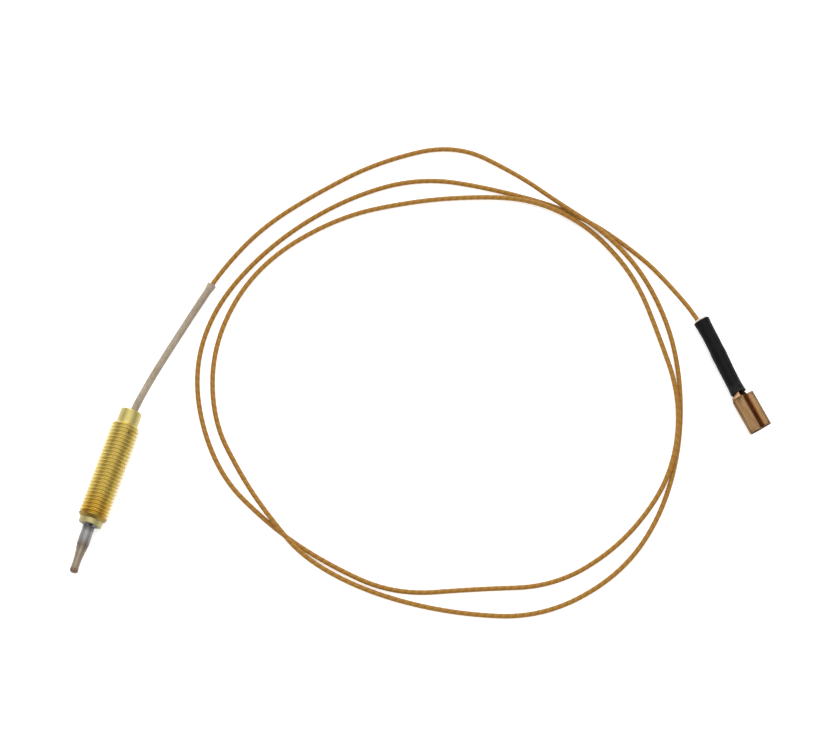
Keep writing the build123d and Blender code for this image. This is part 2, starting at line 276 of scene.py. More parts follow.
def fill_ramp(color_ramp, stops):
    """Gives a new colour ramp its (position, colour) stops."""
    elements = color_ramp.elements
    while len(elements) < len(stops):
        elements.new(0.5)
    for element, (position, shade) in zip(elements, stops):
        element.position = position
        element.color = shade


class Shading:
    """A material under construction."""

    def __init__(self, name, **constants):
        self.material = bpy.data.materials.new(name)
        self.material.use_nodes = True
        self.tree = self.material.node_tree
        self.bsdf = self.tree.nodes["Principled BSDF"]
        for socket, value in constants.items():
            self.bsdf.inputs[socket.replace("_", " ")].default_value = value
        self.place = self.node("TexCoord").outputs["Object"]

    def node(self, kind, inputs=None, **settings):
        made = self.tree.nodes.new("ShaderNode" + kind)
        for name, value in settings.items():
            setattr(made, name, value)
        for socket, value in (inputs or {}).items():
            if isinstance(value, bpy.types.NodeSocket):
                self.tree.links.new(value, made.inputs[socket])
            else:
                made.inputs[socket].default_value = value
        return made

    def math(self, operation, a, b=0.0, c=0.0):
        return self.node("Math", {0: a, 1: b, 2: c}, operation=operation).outputs[0]

    def times(self, a, b):
        return self.math("MULTIPLY", a, b)

    def plus(self, a, b):
        return self.math("ADD", a, b)

    def clamped(self, value, low, high, to_low=0.0, to_high=1.0):
        made = self.node("MapRange", {
            "Value": value, "From Min": low, "From Max": high,
            "To Min": to_low, "To Max": to_high,
        })
        return made.outputs["Result"]

    def noise(self, scale, detail=3.0, roughness=0.5, stretch=(1, 1, 1), vector=None):
        """Noise of a given number of features per millimetre, from 0 to 1."""
        mapping = self.node("Mapping", {
            "Vector": vector or self.place,
            "Scale": tuple(value * scale * (1 if vector else 1000) for value in stretch),
        })
        made = self.node("TexNoise", {
            "Vector": mapping.outputs[0], "Scale": 1.0, "Detail": detail, "Roughness": roughness,
        })
        return made.outputs["Fac"]

    def ramp(self, factor, *stops):
        made = self.node("ValToRGB", {"Fac": factor})
        fill_ramp(made.color_ramp, stops)
        return made.outputs["Color"]

    def mix(self, factor, a, b):
        """Colour a where the factor is 0, and colour b where it's 1."""
        made = self.node("Mix", data_type="RGBA")
        for socket, value in zip((made.inputs[0], made.inputs[6], made.inputs[7]), (factor, a, b)):
            if isinstance(value, bpy.types.NodeSocket):
                self.tree.links.new(value, socket)
            else:
                socket.default_value = value
        return made.outputs[2]

    def bump(self, height, distance, strength=1.0, normal=None):
        """Adds relief: distance in millimetres for a height of one."""
        inputs = {"Height": height, "Distance": distance * MM, "Strength": strength}
        if normal:
            inputs["Normal"] = normal
        return self.node("Bump", inputs).outputs["Normal"]

    def lay(self):
        """Distance along in millimetres and turns around, from the lay map."""
        split = self.node("SeparateXYZ", {0: self.node("UVMap", uv_map="lay").outputs[0]})
        return split.outputs[0], split.outputs[1]

    def xyz(self):
        """Position in millimetres."""
        scaled = self.node("VectorMath", {0: self.place, 1: (1000, 1000, 1000)},
                           operation="MULTIPLY")
        split = self.node("SeparateXYZ", {0: scaled.outputs[0]})
        return split.outputs[0], split.outputs[1], split.outputs[2]

    def set(self, **links):
        for socket, value in links.items():
            self.tree.links.new(value, self.bsdf.inputs[socket.replace("_", " ")])
        return self.material


def brass_material():
    shade = Shading("turned_brass", Metallic=1.0)
    x, y, z = shade.xyz()
    broad = shade.noise(0.12, 3)
    streak = shade.noise(1.0, 4, stretch=(1.1, 0.06, 1.1))
    speck = shade.noise(2.2, 5, 0.6)
    # pale straw at the collar, olive gold along the thread, amber over its last turns
    reach = shade.math("MULTIPLY_ADD", broad, 5.0, y)
    base = shade.ramp(
        shade.clamped(reach, -8.0, 26.0),
        (0.0, colour(196, 148, 52)), (0.1, colour(212, 176, 74)), (0.3, colour(218, 198, 116)),
        (0.76, colour(218, 200, 124)), (0.82, colour(216, 200, 124)), (1.0, colour(216, 200, 124)),
    )
    base = shade.mix(shade.clamped(streak, 0.48, 0.72, 0, 0.28), base, colour(160, 130, 62))
    collar = shade.clamped(y, 19.5, 19.7)
    base = shade.mix(collar, base, colour(190, 176, 112))
    # painted shade darkening the thread's roots
    out = shade.node("CombineXYZ", {0: x, 1: 0.0, 2: shade.math("SUBTRACT", z, AXIS_Z)}).outputs[0]
    radius = shade.node("VectorMath", {0: out}, operation="LENGTH").outputs["Value"]
    threaded = shade.times(shade.clamped(y, 19.6, 19.3), shade.clamped(y, -8.3, -7.9))
    root = shade.times(shade.clamped(radius, 3.75, 3.36), threaded)
    base = shade.mix(shade.times(root, 0.4), base, colour(130, 98, 36))
    # painted shade darkening the thread's run-out and chamfer to olive brown, and the dull pale
    # flange
    runout_shade = shade.clamped(shade.math("MULTIPLY_ADD", speck, 0.8, y), -6.2, -6.9)
    base = shade.mix(shade.times(runout_shade, 0.8), base, colour(116, 94, 48))
    flange = shade.clamped(y, -8.1, -8.4)
    base = shade.mix(flange, base, colour(174, 164, 114))
    face = shade.clamped(y, -9.5, -9.62)
    base = shade.mix(shade.times(face, 0.6), base, colour(150, 138, 104))
    # painted shade in a small nick beside the collar
    gap = shade.node("VectorMath", {0: shade.place, 1: tuple(NICK * MM)}, operation="DISTANCE")
    nick_shade = shade.clamped(gap.outputs["Value"], 0.55 * MM, 0.36 * MM)
    base = shade.mix(shade.times(nick_shade, 0.95), base, colour(44, 28, 8))
    rough = shade.clamped(speck, 0.3, 0.8, 0.3, 0.42)
    rough = shade.plus(rough, shade.times(flange, 0.16))
    rough = shade.plus(rough, shade.times(collar, 0.1))
    rings = shade.node("TexWave", {
        "Vector": shade.place, "Scale": 1700.0, "Distortion": 0.6, "Detail": 2.0,
        "Detail Scale": 2.0,
    }, wave_type="BANDS", bands_direction="Y").outputs["Fac"]
    normal = shade.bump(rings, 0.004, 0.4)
    normal = shade.bump(speck, 0.008, 0.3, normal)
    return shade.set(Base_Color=base, Roughness=rough, Normal=normal)


def sheath_material():
    shade = Shading("sheath_alloy", Metallic=0.8)
    _, y, _ = shade.xyz()
    streak = shade.noise(1.0, 5, 0.6, stretch=(1.6, 0.16, 1.6))
    blotch = shade.noise(0.5, 4, 0.6)
    reach = shade.math("MULTIPLY_ADD", blotch, 2.6, y)
    base = shade.ramp(
        shade.clamped(reach, -23.0, -8.2),
        (0.0, colour(112, 100, 84)), (0.16, colour(150, 138, 118)), (0.45, colour(144, 132, 112)),
        (0.6, colour(116, 102, 92)), (0.7, colour(138, 136, 134)), (0.84, colour(148, 148, 148)),
        (0.95, colour(80, 76, 78)),
    )
    base = shade.mix(shade.clamped(streak, 0.48, 0.8, 0, 0.5), base, colour(92, 80, 68))
    rough = shade.clamped(blotch, 0.3, 0.7, 0.4, 0.56)
    normal = shade.bump(streak, 0.03, 0.5)
    return shade.set(Base_Color=base, Roughness=rough, Normal=normal)


def bead_material():
    shade = Shading("weld_bead", Metallic=0.6)
    grain = shade.noise(1.6, 5, 0.6)
    base = shade.ramp(
        grain, (0.3, colour(80, 64, 52)), (0.55, colour(124, 102, 84)),
        (0.8, colour(152, 134, 114)),
    )
    return shade.set(
        Base_Color=base, Roughness=shade.clamped(grain, 0.3, 0.7, 0.32, 0.55),
        Normal=shade.bump(grain, 0.06, 0.6),
    )


def braze_material():
    shade = Shading("braze", Metallic=0.8)
    grain = shade.noise(0.9, 4, 0.55)
    fine = shade.noise(4.0, 4, 0.6)
    base = shade.ramp(
        grain, (0.34, colour(56, 52, 54)), (0.46, colour(84, 80, 84)),
        (0.58, colour(140, 136, 132)), (0.7, colour(104, 92, 74)),
    )
    return shade.set(
        Base_Color=base, Roughness=shade.clamped(fine, 0.3, 0.7, 0.28, 0.5),
        Normal=shade.bump(fine, 0.03, 0.5),
    )


def woven_sleeve_material():
    shade = Shading("woven_sleeve", Sheen_Weight=0.15, Sheen_Roughness=0.5)
    along, around = shade.lay()
    # two families of yarns that cross, each pair of crossings one over and one under
    left = shade.plus(shade.times(along, 1.45), shade.times(around, 8))
    right = shade.math("SUBTRACT", shade.times(along, 1.45),
                       shade.times(around, 8))
    wave_left = shade.math("SINE", shade.times(left, 2 * pi))
    wave_right = shade.math("SINE", shade.times(right, 2 * pi))
    weave = shade.times(wave_left, wave_right)
    fibres = shade.noise(1.0, 4, 0.6, stretch=(9.0, 0.7, 9.0))
    tone = shade.noise(0.16, 3)
    base = shade.ramp(
        shade.math("MULTIPLY_ADD", fibres, 0.75, shade.times(tone, 0.3)),
        (0.32, colour(112, 98, 80)), (0.5, colour(154, 139, 118)), (0.72, colour(190, 178, 158)),
    )
    base = shade.mix(shade.clamped(weave, -1, 1, 0.28, 0.0), base, colour(118, 96, 68))
    normal = shade.bump(weave, 0.035, 0.6)
    normal = shade.bump(fibres, 0.05, 0.5, normal)
    return shade.set(
        Base_Color=base, Roughness=shade.clamped(fibres, 0.3, 0.7, 0.42, 0.66), Normal=normal,
    )


def lapped_jacket_material():
    shade = Shading("lapped_jacket", Coat_Weight=0.08, Coat_Roughness=0.4, Specular_IOR_Level=0.3)
    along, around = shade.lay()
    drift = shade.noise(0.035, 3)
    fine = shade.noise(2.6, 4, 0.6)
    phase = shade.plus(shade.times(along, 0.5), around)
    phase = shade.plus(phase, shade.times(fine, 0.12))
    lap = shade.math("FRACT", phase)
    base = shade.ramp(
        lap,
        (0.0, colour(134, 84, 18)), (0.1, colour(156, 104, 20)), (0.34, colour(162, 112, 22)),
        (0.5, colour(158, 114, 26)), (0.66, colour(166, 124, 32)), (0.9, colour(158, 114, 26)),
        (1.0, colour(134, 86, 18)),
    )
    base = shade.mix(shade.clamped(drift, 0.35, 0.65, 0.0, 0.3), base, colour(146, 94, 20))
    threads = shade.math("SINE", shade.times(phase, 2 * pi * 6))
    base = shade.mix(shade.clamped(threads, -1, 1, 0.22, 0.0), base, colour(108, 66, 16))
    base = shade.mix(shade.clamped(fine, 0.62, 0.8, 0.0, 0.3), base, colour(196, 162, 84))
    normal = shade.bump(threads, 0.02, 0.5)
    normal = shade.bump(fine, 0.02, 0.4, normal)
    return shade.set(
        Base_Color=base, Roughness=shade.clamped(fine, 0.3, 0.7, 0.36, 0.56), Normal=normal,
    )


def heat_shrink_material():
    shade = Shading("heat_shrink", Specular_IOR_Level=0.12)
    along, _ = shade.lay()
    mottle = shade.noise(0.5, 4, 0.6)
    fine = shade.noise(6.0, 3, 0.6)
    scuff = shade.noise(1.4, 5, 0.65)
    base = shade.ramp(
        mottle, (0.3, colour(8, 7, 7)), (0.6, colour(15, 13, 14)), (0.8, colour(24, 21, 22)),
    )
    base = shade.mix(shade.clamped(scuff, 0.68, 0.78, 0.0, 0.3), base, colour(96, 92, 88))
    worn = shade.times(shade.clamped(along, 18.5, 22.5), shade.clamped(mottle, 0.3, 0.6))
    base = shade.mix(shade.times(worn, 0.16), base, colour(86, 82, 88))
    normal = shade.bump(fine, 0.015, 0.5)
    normal = shade.bump(mottle, 0.12, 0.5, normal)
    return shade.set(
        Base_Color=base, Roughness=shade.clamped(mottle, 0.3, 0.7, 0.46, 0.64), Normal=normal,
    )


def white_fibre_material(name, dark, light):
    shade = Shading(name, Sheen_Weight=0.25)
    strands = shade.noise(5.0, 4, 0.6)
    base = shade.ramp(strands, (0.3, dark), (0.65, light))
    return shade.set(
        Base_Color=base, Roughness=shade.clamped(strands, 0.3, 0.7, 0.55, 0.8),
        Normal=shade.bump(strands, 0.05, 0.6),
    )


def bronze_material():
    shade = Shading("pressed_bronze", Metallic=1.0)
    # place in the receptacle's own directions, from the middle of its section
    middle = tuple((CONNECTOR - ACROSS * LEAD_OFFSET) * MM)
    local = shade.node("VectorMath", {0: shade.place, 1: middle}, operation="SUBTRACT").outputs[0]

    def part_of(direction):
        dot = shade.node("VectorMath", {0: local, 1: tuple(direction * 1000)},
                         operation="DOT_PRODUCT")
        return dot.outputs["Value"]

    along, cross, high = part_of(AXIS), part_of(CROSS), part_of(RISE)
    grain = shade.noise(1.0, 4, 0.6)
    rolled = shade.node("CombineXYZ", {0: shade.times(along, 0.12), 1: cross, 2: high})
    streak = shade.noise(2.0, 4, 0.55, vector=rolled.outputs[0])
    base = shade.ramp(
        streak, (0.3, colour(124, 95, 62)), (0.5, colour(142, 112, 76)),
        (0.7, colour(156, 126, 92)),
    )
    # brown tarnish with painted shade in the slot and a painted lighter flank, from the lip of the
    # left roll to the flank of the right one
    slot_tarnish_and_shade = shade.ramp(
        shade.clamped(shade.math("MULTIPLY_ADD", grain, 0.12, cross), -0.1, 2.4),
        (0.0, colour(136, 106, 80)), (0.13, colour(150, 118, 90)), (0.2, colour(92, 56, 38)),
        (0.26, colour(40, 10, 4)), (0.35, colour(96, 42, 18)), (0.4, colour(206, 132, 68)),
        (0.6, colour(176, 116, 64)), (0.84, colour(160, 128, 94)),
    )
    slot_tarnish_and_shade_mask = shade.times(shade.clamped(cross, -0.15, 0.15), shade.clamped(cross, 2.1, 1.8))
    slot_tarnish_and_shade_mask = shade.times(slot_tarnish_and_shade_mask, shade.clamped(high, -0.2, 0.2))
    base = shade.mix(slot_tarnish_and_shade_mask, base, slot_tarnish_and_shade)
    # painted shade along a faint crease on the flat of the left roll
    crease_shade = shade.math("ABSOLUTE", shade.plus(cross, 1.75))
    crease_shade = shade.times(shade.clamped(crease_shade, 0.22, 0.04), shade.clamped(high, 0.7, 0.9))
    base = shade.mix(shade.times(crease_shade, 0.4), base, colour(112, 80, 48))
    # dark smudges near both ends of the rolls
    ends = shade.plus(shade.clamped(along, 32.9, 33.7), shade.clamped(along, 25.0, 24.1))
    ends = shade.times(ends, shade.clamped(grain, 0.42, 0.58))
    base = shade.mix(shade.times(ends, 0.7), base, colour(92, 62, 36))
    # painted highlight on the bend between the neck and the left roll
    bend = shade.times(shade.clamped(along, 23.62, 23.5), shade.clamped(along, 22.2, 22.5))
    bend = shade.times(bend, shade.clamped(high, -0.1, 0.2))
    base = shade.mix(shade.times(bend, 0.85), base, colour(206, 164, 128))
    # painted shade: the inside darkened brown
    inside_shade = shade.times(shade.clamped(high, -1.12, -1.0), shade.clamped(high, 0.82, 0.66))
    inside_shade = shade.times(inside_shade, shade.clamped(shade.math("ABSOLUTE", cross), 2.86, 2.78))
    base = shade.mix(shade.times(inside_shade, 0.85), base, colour(92, 46, 20))
    rough = shade.clamped(grain, 0.3, 0.7, 0.42, 0.54)
    normal = shade.bump(streak, 0.012, 0.4)
    return shade.set(Base_Color=base, Roughness=rough, Normal=normal)


def plain_metal_material(name, dark, light, roughness):
    shade = Shading(name, Metallic=1.0)
    grain = shade.noise(2.0, 4, 0.6, stretch=(1, 0.2, 1))
    base = shade.ramp(grain, (0.3, dark), (0.7, light))
    return shade.set(
        Base_Color=base, Roughness=shade.clamped(grain, 0.3, 0.7, roughness, roughness + 0.15),
        Normal=shade.bump(grain, 0.01, 0.4),
    )


# ---- head: sizes
AXIS_Z = 3.925
REAR_Y = 23.35
SHOULDER_Y = 19.5
FLANGE_Y = -8.15
FACE_Y = -9.65
COLLAR_R = 2.9
FLANGE_R = 3.1
CREST_R = 3.92
THREAD_DEPTH = 0.56
ROOT_R = CREST_R - THREAD_DEPTH
HEAD_COLUMNS = 96
# the bores: wide at the rear, narrow through the web between them, and the sheath's at the front
REAR_BORE_R = 2.0
WEB_BORE_R = 1.2
SHEATH_BORE_R = 1.62
WEB_REAR_Y = 3.0
WEB_FRONT_Y = 1.0
LEAN_FROM_Y = FACE_Y - 0.6
LEAN = 0.026
NICK = Vector((2.04, 16.6, 7.27))
NICK_R = 0.4
NICK_DEPTH = 0.36


def on_head(y, angle, radius):
    """A point round the head's axis. Angle turns right-handed about +Y from the top."""
    # the sheath leans a little beyond the flange
    lean = LEAN * max(0.0, LEAN_FROM_Y - y)
    return Vector((lean + radius * sin(angle), y, AXIS_Z + radius * cos(angle)))


brass = brass_material()
sheath_alloy = sheath_material()


# ---- threaded body
# turns laid down, of which those past the ends are pressed flat against them
THREAD_TURNS = 31
# (share of the pitch, radius) of one turn: root flat, flank, softened crest, flank
THREAD_TURN = [
    (0.0, ROOT_R), (0.11, ROOT_R + 0.005), (0.2, ROOT_R + 0.12), (0.4, CREST_R - 0.07),
    (0.455, CREST_R), (0.545, CREST_R), (0.6, CREST_R - 0.07), (0.8, ROOT_R + 0.12),
    (0.89, ROOT_R + 0.005),
]


def thread_envelope(y):
    """The radius left by the chamfers at both ends of the thread."""
    return min(COLLAR_R + 1.05 * (SHOULDER_Y - y), FLANGE_R + 0.95 * (y - FLANGE_Y), CREST_R)


def threaded_body():
    columns = range(HEAD_COLUMNS + 1)
    angles = [2 * pi * i / HEAD_COLUMNS for i in columns]
    rows = []
    # the helix: each row climbs one pitch in one turn, and runs into the row above it
    for turn in range(THREAD_TURNS):
        for share, radius in THREAD_TURN:
            row = []
            for i in columns:
                y = FLANGE_Y - 1.5 + turn + share + i / HEAD_COLUMNS
                y = min(max(y, FLANGE_Y), SHOULDER_Y)
                top = on_head(y, angles[i], radius)
                worn = 0.02 * wobble(top, 0.8, 1) + 0.012 * wobble(top, 2.5, 2)
                size = radius + (worn if radius > ROOT_R + 0.2 else 0)
                # the last turn runs out into the chamfer, and one crest has a nick
                filled = interpolate([(FLANGE_Y + 0.75, 1.0), (FLANGE_Y + 1.5, 0.0)], y)
                size += (CREST_R - size) * filled
                size = min(size, thread_envelope(y))
                if (top - NICK).length < NICK_R:
                    size = min(size, CREST_R - NICK_DEPTH)
                row.append(on_head(y, angles[i], min(size, CREST_R)))
            rows.append(row)
    turned = [
        (SHOULDER_Y, COLLAR_R), (SHOULDER_Y + 0.12, COLLAR_R + 0.015), (SHOULDER_Y + 0.3, COLLAR_R),
        (REAR_Y - 2.0, COLLAR_R), (REAR_Y - 0.3, COLLAR_R), (REAR_Y - 0.16, COLLAR_R - 0.05),
        (REAR_Y - 0.04, COLLAR_R - 0.17), (REAR_Y, COLLAR_R - 0.32), (REAR_Y, 2.2),
        (REAR_Y - 0.12, REAR_BORE_R + 0.05), (REAR_Y - 0.3, REAR_BORE_R),
        (WEB_REAR_Y, REAR_BORE_R), (WEB_REAR_Y, WEB_BORE_R), (WEB_FRONT_Y, WEB_BORE_R),
        (WEB_FRONT_Y, SHEATH_BORE_R), (FACE_Y + 0.15, SHEATH_BORE_R), (FACE_Y, 1.7),
        (FACE_Y, FLANGE_R - 0.3),
        (FACE_Y + 0.03, FLANGE_R - 0.14), (FACE_Y + 0.12, FLANGE_R - 0.03),
        (FACE_Y + 0.26, FLANGE_R), (FLANGE_Y - 0.1, FLANGE_R), (FLANGE_Y, FLANGE_R),
    ]
    rows += [[on_head(y, angle, radius) for angle in angles] for y, radius in turned]
    wide = HEAD_COLUMNS + 1
    faces = []
    for j in range(len(rows) - 1):
        low, high = j * wide, (j + 1) * wide
        for i in range(HEAD_COLUMNS):
            faces.append((low + i, low + i + 1, high + i + 1, high + i))
    vertices = [point for row in rows for point in row]
    return piece("threaded_brass_body", vertices, faces, brass,
                 ["threaded_body"], smooth=38, weld=0.002)


threaded_body()


# ---- sensing tip
SHEATH_OUTER = [
    (-21.95, 1.07), (-21.3, 1.075), (-20.4, 1.05), (-19.2, 1.09), (-17.6, 1.25), (-16.2, 1.45),
    (-15.3, 1.575), (-14.8, 1.625), (-14.2, 1.605), (-9.6, 1.6), (0.95, 1.6),
]
SHEATH_INNER = [(-21.95, 0.74), (-19.1, 0.74), (-15.0, 1.21), (0.95, 1.21)]


def sheath():
    angles = full_turn(64)
    stations = steps(0.95, -9.0, 1.0)[:-1] + steps(-9.0, -21.95, 0.16)

    def outer(y, angle):
        swaged = interpolate([(-20.5, 1.0), (-15.0, 0.25), (-14.0, 0.0)], y)
        radius = interpolate(SHEATH_OUTER, y)
        radius *= 1 + swaged * (0.016 * cos(4 * angle + 0.4) + 0.01 * cos(2 * angle))
        return radius + 0.02 * swaged * wobble(on_head(y, angle, radius), 0.9, 3)

    rings = [[on_head(y, a, outer(y, a)) for a in angles] for y in stations]
    rings += [[on_head(y, a, interpolate(SHEATH_INNER, y)) for a in angles]
              for y in reversed(stations)]
    vertices, faces, _ = skin(rings, stations + stations[::-1], loop=True)
    return piece("swaged_sheath", vertices, faces, sheath_alloy,
                 ["sensor_sheath"], smooth=50)


def bead():
    angles = full_turn(48)
    outline = [(-21.95, 0.5), (-21.95, 0.98), (-21.97, 1.07), (-22.06, 1.12)]
    outline += [(-22.2, 1.15), (-22.4, 1.165), (-22.6, 1.15), (-22.8, 1.08), (-22.98, 0.95)]
    outline += [(-23.13, 0.75), (-23.24, 0.5), (-23.3, 0.25), (-23.32, 0.08)]
    rings = []
    for y, radius in outline:
        ring = []
        for angle in angles:
            lump = 0.05 * wobble(on_head(y, angle, radius), 1.1, 4) if y < -21.96 else 0
            ring.append(on_head(y, angle, min(radius * (1 + lump), 1.19)))
        rings.append(ring)
    places = [y for y, radius in outline]
    vertices, faces, _ = skin(rings, places, start_cap=True, end_cap=True)
    return piece("junction_bead", vertices, faces, bead_material(),
                 ["hot_junction_bead"])


def braze():
    """Uneven ring of braze on the flange's face, thicker at the top right."""
    angles = full_turn(HEAD_COLUMNS)
    rows = 10
    rings = []
    for i in range(rows + 1):
        share = i / rows
        ring = []
        for angle in angles:
            spread = 0.62 + 0.5 * wobble((cos(angle), sin(angle), 0), 1.7, 5)
            spread += 0.3 * max(0, cos(angle - 0.5)) + 0.03 * cos(5 * angle)
            spread = min(max(spread, 0.3), 1.25)
            height = 0.3 + 0.22 * wobble((cos(angle), sin(angle), 1), 2.2, 6)
            height += 0.18 * max(0, cos(angle - 0.7))
            radius = 1.6 + spread * share
            rise = height * (1 - share) ** 1.6 + 0.05 * (1 - share ** 4)
            rise += 0.05 * wobble(on_head(0, angle, radius), 2.4, 7) * (1 - share)
            ring.append(on_head(FACE_Y - max(rise, 0.0), angle, radius))
        rings.append(ring)
    rings.append([on_head(FACE_Y + 0.05, angle, 2.0) for angle in angles])
    rings.append([on_head(FACE_Y + 0.05, angle, 1.6) for angle in angles])
    vertices, faces, _ = skin(rings, list(range(len(rings))), loop=True)
    return piece("braze_ring", vertices, faces, braze_material(), ["braze_fillet"])


sheath()
bead()
braze()


# ---- lead
JACKET_R = 0.66
LAP_PITCH = 2.0
jacket_shade = lapped_jacket_material()


def lead():
    """The lapped jacket: each turn of the lap stands a little over the next."""
    around = 16
    rings = []
    for distance, place, tangent, side in zip(
        lead_line.along, lead_line.points, lead_line.tangents, lead_line.sides
    ):
        other = tangent.cross(side)
        ring = []
        for k in range(around):
            turn = distance / LAP_PITCH + k / around
            lap = turn - floor(turn)
            radius = JACKET_R - 0.022 + 0.03 * (1 - lap) - 0.02 * (lap < 0.09)
            angle = 2 * pi * k / around
            ring.append(place + (side * cos(angle) + other * sin(angle)) * radius)
        rings.append(ring)
    vertices, faces, lays = skin(rings, lead_line.along, start_cap=True, end_cap=True)
    return piece("lapped_lead", vertices, faces, jacket_shade,
                 ["lead_jacket", "lead_core"], lays)


lead_piece = lead()

# woven sleeve on the lead where it leaves the collar
SLEEVE_FROM = 3.0
SLEEVE_TO = 53.4
SLEEVE_R = 0.985
SLEEVE_BORE_R = 0.74
SLEEVE_LIMIT_R = 1.26
YARN_ENDS = 46
woven = woven_sleeve_material()


def sleeve_flare(distance):
    """How far the sleeve has opened: 0 along most of it, and 1 at its free end."""
    return interpolate([(SLEEVE_TO - 2.4, 0.0), (SLEEVE_TO - 0.2, 1.0)], distance)


def sleeve_outer(distance, angle):
    flare = sleeve_flare(distance)
    uneven = 0.03 * wobble((distance * 0.2, cos(angle), sin(angle)), 1.3, 8)
    radius = SLEEVE_R + 0.24 * flare + uneven
    ribs = 0.012 * cos(12 * angle + distance * 1.1) + 0.012 * cos(12 * angle - distance * 1.1)
    return min(radius + ribs, SLEEVE_LIMIT_R) + 0.03 * flare * cos(5 * angle)


def sleeve_inner(distance, angle):
    return SLEEVE_BORE_R + 0.27 * sleeve_flare(distance)


def exit_sleeve():
    distances = steps(SLEEVE_FROM, SLEEVE_TO, 0.25)
    vertices, faces, lays = pipe(lead_line, distances, sleeve_outer, sleeve_inner, 36)
    return piece("woven_exit_sleeve", vertices, faces, woven,
                 ["exit_sleeve"], lays, smooth=60)


def sleeve_fray():
    """Loose ends of yarn round the sleeve's free end."""
    chance = random.Random(11)
    parts = []
    for k in range(YARN_ENDS):
        angle = 2 * pi * (k + chance.uniform(-0.3, 0.3)) / YARN_ENDS
        distance = SLEEVE_TO - chance.uniform(0.2, 0.7)
        root = lead_line.point(distance, angle, chance.uniform(1.0, 1.17))
        middle, tangent, _ = lead_line.at(distance)
        out = (root - middle).normalized()
        swirl = tangent.cross(out) * chance.uniform(-0.5, 0.5)
        direction = (tangent + out * chance.uniform(0.0, 0.3) + swirl * 0.4).normalized()
        length = chance.uniform(0.5, 1.05)
        bend = out * chance.uniform(-0.2, 0.3) + swirl * 0.5
        # an end that would reach the surface lies along the lead
        if (root + (direction + bend) * length).z < 0.1:
            direction, bend = tangent, Vector((0, 0, 0))
        parts.append(fibre(root, direction, length, chance.uniform(0.03, 0.055), bend))
    vertices, faces, _ = join_parts(parts)
    shade = white_fibre_material("yarn_ends", colour(170, 160, 146), colour(226, 220, 210))
    return piece("exit_sleeve_fray", vertices, faces, shade)


sleeve_piece = exit_sleeve()
fray_piece = sleeve_fray()


# ---- connector
ROLL = radians(-14)
AXIS = Vector((cos(radians(-45)), sin(radians(-45)), 0))
ACROSS = Vector((cos(radians(45)), sin(radians(45)), 0))
UP = Vector((0, 0, 1))
CROSS = ACROSS * cos(ROLL) - UP * sin(ROLL)
RISE = ACROSS * sin(ROLL) + UP * cos(ROLL)
LEAD_OFFSET = 0.5
CONNECTOR = Vector((138.0, 95.5, 2.35)) + ACROSS * LEAD_OFFSET
SHRINK_LENGTH = 22.6
SHRINK_WALL = 0.3
SHRINK_LIMIT_R = 2.32
LOOSE_FIBRES = 90
# sideways place of the heat-shrink's middle at distances along the connector
SHRINK_MIDDLE = [(1.5, -0.08), (22.5, -0.93)]
# its radius at distances along it
SHRINK_OUTER = [
    (0.0, 2.3), (0.4, 2.24), (1.8, 2.1), (5.0, 2.02), (8.0, 2.02), (10.5, 2.14), (13.0, 2.06),
    (17.5, 1.99), (20.0, 1.98), (21.6, 2.08), (SHRINK_LENGTH, 2.17),
]
white_fibre = white_fibre_material("white_fibre", colour(196, 184, 172), colour(238, 230, 222))


def on_connector(along, across, high):
    """A point from distance along the connector and place in the heat-shrink's section."""
    middle = interpolate(SHRINK_MIDDLE, along)
    return CONNECTOR + AXIS * along + ACROSS * (middle + across) + UP * high


def on_receptacle(along, cross, rise):
    """A point in the rolled cross-section of the receptacle, in line with the lead."""
    return CONNECTOR + AXIS * along - ACROSS * LEAD_OFFSET + CROSS * cross + RISE * rise


def heat_shrink():
    angles = full_turn(64)
    distances = steps(0.0, SHRINK_LENGTH, 0.3)

    def ring(distance, inner):
        points = []
        for angle in angles:
            across, high = cos(angle), sin(angle)
            # the cut at the receptacle's end leans: the left side is shorter
            late = max(0.0, (distance - 19.0) / 3.3)
            ragged = 0.05 * wobble((across, high, 0), 2.5, 9)
            along = distance - late * (0.14 * (1 - across) + ragged)
            early = max(0.0, 1 - distance / 1.2)
            along += early * 0.12 * wobble((across, high, 1), 2.2, 10)
            radius = interpolate(SHRINK_OUTER, distance)
            dent = wobble((distance * 0.16, across, high), 1.6, 11)
            radius += 0.05 * dent + 0.02 * wobble((distance, across * 2, high * 2), 1.1, 12)
            radius = min(radius, SHRINK_LIMIT_R)
            if inner:
                radius -= SHRINK_WALL
            points.append(on_connector(along, radius * across, radius * high))
        return points

    rings = [ring(d, False) for d in distances] + [ring(d, True) for d in reversed(distances)]
    vertices, faces, lays = skin(rings, distances + distances[::-1], loop=True)
    return piece("heat_shrink", vertices, faces, heat_shrink_material(),
                 ["heat_shrink_tube"], lays, smooth=55)


